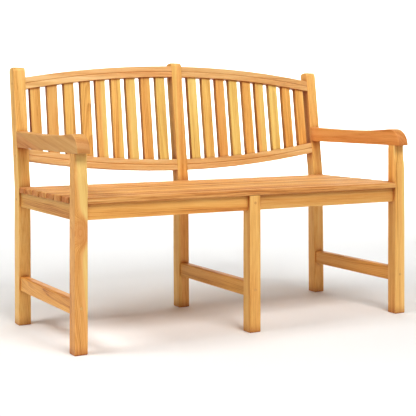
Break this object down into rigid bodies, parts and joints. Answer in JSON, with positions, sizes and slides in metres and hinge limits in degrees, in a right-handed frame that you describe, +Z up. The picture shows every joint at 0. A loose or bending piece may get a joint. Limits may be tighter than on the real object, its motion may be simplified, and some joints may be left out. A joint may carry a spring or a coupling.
{
  "type": "garden bench",
  "caption": "Wooden garden bench: slatted seat, oval slatted back in two bays on a middle post, dipped arms with round noses, low side stretchers.",
  "frame": {"origin": "centre of the bench's box, on the ground", "axes": "+X to the sitter's left-hand end as seen from the front (viewer's right), +Y from front to back, +Z up"},
  "size_m": [1.24, 0.5946, 0.88],
  "materials": {
    "leg_wood": "fine-sanded, lightly oiled, satin",
    "rail_wood": "fine-sanded, lightly oiled, satin",
    "slat_wood": "fine-sanded, lightly oiled, satin",
    "seat_wood": "fine-sanded, lightly oiled, satin",
    "apron_wood": "fine-sanded, lightly oiled, satin",
    "arm_wood": "fine-sanded, lightly oiled, satin",
    "plug_wood": "end of a cross-grain plug, sanded flush",
    "screw_steel": "plain stainless, hidden under the plugs"
  },
  "bodies": {
    "root": {"front_leg_left": "leg_wood", "front_leg_middle": "leg_wood", "front_leg_right": "leg_wood", "rear_post_left": "leg_wood", "rear_post_middle": "leg_wood", "rear_post_right": "leg_wood", "top_rail_left": "rail_wood", "top_rail_right": "rail_wood", "bottom_rail_left": "rail_wood", "bottom_rail_right": "rail_wood", "back_slat_1": "slat_wood", "back_slat_2": "slat_wood", "back_slat_3": "slat_wood", "back_slat_4": "slat_wood", "back_slat_5": "slat_wood", "back_slat_6": "slat_wood", "back_slat_7": "slat_wood", "back_slat_8": "slat_wood", "back_slat_9": "slat_wood", "back_slat_10": "slat_wood", "back_slat_11": "slat_wood", "back_slat_12": "slat_wood", "back_slat_13": "slat_wood", "back_slat_14": "slat_wood", "back_slat_15": "slat_wood", "back_slat_16": "slat_wood", "back_slat_17": "slat_wood", "back_slat_18": "slat_wood", "seat_slat_front": "seat_wood", "seat_slat_1": "seat_wood", "seat_slat_2": "seat_wood", "seat_slat_3": "seat_wood", "seat_slat_4": "seat_wood", "seat_slat_5": "seat_wood", "seat_slat_6": "seat_wood", "seat_slat_7": "seat_wood", "front_apron_left": "apron_wood", "front_apron_right": "apron_wood", "rear_apron_left": "apron_wood", "rear_apron_right": "apron_wood", "side_apron_left": "apron_wood", "side_apron_right": "apron_wood", "seat_bearer_middle": "apron_wood", "stretcher_left": "apron_wood", "stretcher_middle": "apron_wood", "stretcher_right": "apron_wood", "arm_left": "arm_wood", "arm_right": "arm_wood", "seat_screws": "screw_steel", "seat_plugs": "plug_wood", "frame_screws": "screw_steel", "frame_plugs": "plug_wood"}
  },
  "joints": []
}
